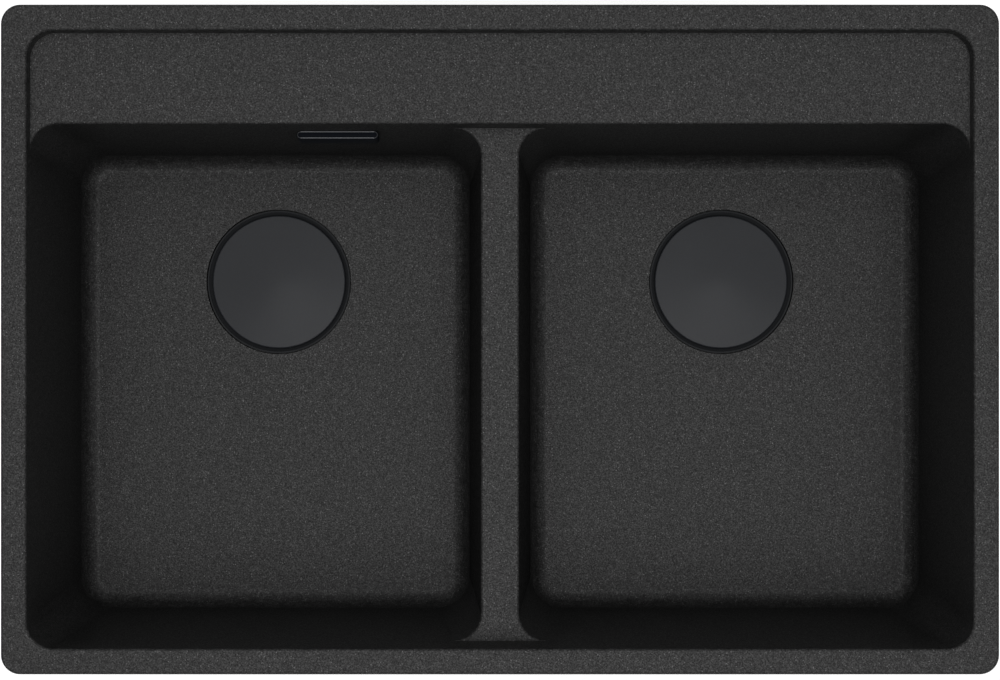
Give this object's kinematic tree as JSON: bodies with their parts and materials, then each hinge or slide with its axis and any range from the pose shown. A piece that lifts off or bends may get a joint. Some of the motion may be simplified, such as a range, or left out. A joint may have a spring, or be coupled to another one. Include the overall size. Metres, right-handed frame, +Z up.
{
  "type": "double bowl kitchen sink",
  "caption": "Inset composite stone kitchen sink with two equal bowls, a lowered divider, a rear tap ledge, covered drains, an overflow and its waste pipework.",
  "frame": {"origin": "middle of the worktop cut-out, at the worktop's upper surface, where the rim's seal rests", "axes": "+X to the right, +Y to the tap ledge at the rear, +Z up"},
  "size_m": [0.775, 0.52, 0.3495],
  "materials": {
    "granite": "satin",
    "cover_satin": "satin",
    "overflow_dark": "satin",
    "steel": "satin",
    "zinc_steel": "satin",
    "brass": "satin",
    "rubber": "matte",
    "foam": "matte",
    "pipe_white": "satin",
    "nut_grey": "satin"
  },
  "bodies": {
    "sink": {"sink_body": "granite", "rim_seal": "foam", "left_flange_gasket": "rubber", "left_waste_gasket": "rubber", "left_waste_flange": "cover_satin", "left_clamp_screw": "steel", "left_waste_body": "pipe_white", "left_branch_pipe": "pipe_white", "right_flange_gasket": "rubber", "right_waste_gasket": "rubber", "right_waste_flange": "cover_satin", "right_clamp_screw": "steel", "right_waste_body": "pipe_white", "right_branch_pipe": "pipe_white", "tee": "pipe_white", "tail_pipe": "pipe_white", "overflow_housing": "pipe_white", "overflow_pipe": "pipe_white", "union_nuts": "nut_grey", "overflow_nuts": "nut_grey", "union_seals": "rubber", "overflow_gasket": "rubber", "overflow_seals": "rubber", "overflow_hood": "overflow_dark", "overflow_frame": "overflow_dark", "overflow_screws": "steel", "clip_anchor_screws": "steel", "clip_bolts": "steel", "clip_brackets": "zinc_steel", "clip_anchors": "brass"},
    "left_cover": {"left_drain_cover": "cover_satin", "left_cover_feet": "rubber"},
    "left_strainer": {"left_basket": "steel", "left_basket_plug": "rubber", "left_basket_knob": "steel"},
    "right_cover": {"right_drain_cover": "cover_satin", "right_cover_feet": "rubber"},
    "right_strainer": {"right_basket": "steel", "right_basket_plug": "rubber", "right_basket_knob": "steel"},
    "claw_left_front": {"claw_left_front": "zinc_steel"},
    "claw_left_rear": {"claw_left_rear": "zinc_steel"},
    "claw_right_front": {"claw_right_front": "zinc_steel"},
    "claw_right_rear": {"claw_right_rear": "zinc_steel"},
    "claw_front_left": {"claw_front_left": "zinc_steel"},
    "claw_front_right": {"claw_front_right": "zinc_steel"},
    "claw_rear_left": {"claw_rear_left": "zinc_steel"},
    "claw_rear_right": {"claw_rear_right": "zinc_steel"}
  },
  "joints": [
    {"name": "left_cover_lift", "type": "slide", "parent": "sink", "child": "left_cover", "axis": [0, 0, 1], "range_m": [0, 0.24]},
    {"name": "left_strainer_lift", "type": "slide", "parent": "sink", "child": "left_strainer", "axis": [0, 0, 1], "range_m": [0, 0.009]},
    {"name": "right_cover_lift", "type": "slide", "parent": "sink", "child": "right_cover", "axis": [0, 0, 1], "range_m": [0, 0.24]},
    {"name": "right_strainer_lift", "type": "slide", "parent": "sink", "child": "right_strainer", "axis": [0, 0, 1], "range_m": [0, 0.009]},
    {"name": "claw_left_front_swivel", "type": "hinge", "parent": "sink", "child": "claw_left_front", "pos_m": [-0.3815, -0.11, -0.048], "axis": [0, 0, 1], "range_deg": [0, 90]},
    {"name": "claw_left_rear_swivel", "type": "hinge", "parent": "sink", "child": "claw_left_rear", "pos_m": [-0.3815, 0.11, -0.048], "axis": [0, 0, 1], "range_deg": [0, 90]},
    {"name": "claw_right_front_swivel", "type": "hinge", "parent": "sink", "child": "claw_right_front", "pos_m": [0.3815, -0.11, -0.048], "axis": [0, 0, 1], "range_deg": [0, 90]},
    {"name": "claw_right_rear_swivel", "type": "hinge", "parent": "sink", "child": "claw_right_rear", "pos_m": [0.3815, 0.11, -0.048], "axis": [0, 0, 1], "range_deg": [0, 90]},
    {"name": "claw_front_left_swivel", "type": "hinge", "parent": "sink", "child": "claw_front_left", "pos_m": [-0.188, -0.254, -0.048], "axis": [0, 0, 1], "range_deg": [0, 90]},
    {"name": "claw_front_right_swivel", "type": "hinge", "parent": "sink", "child": "claw_front_right", "pos_m": [0.188, -0.254, -0.048], "axis": [0, 0, 1], "range_deg": [0, 90]},
    {"name": "claw_rear_left_swivel", "type": "hinge", "parent": "sink", "child": "claw_rear_left", "pos_m": [-0.188, 0.254, -0.048], "axis": [0, 0, 1], "range_deg": [0, 90]},
    {"name": "claw_rear_right_swivel", "type": "hinge", "parent": "sink", "child": "claw_rear_right", "pos_m": [0.188, 0.254, -0.048], "axis": [0, 0, 1], "range_deg": [0, 90]}
  ]
}
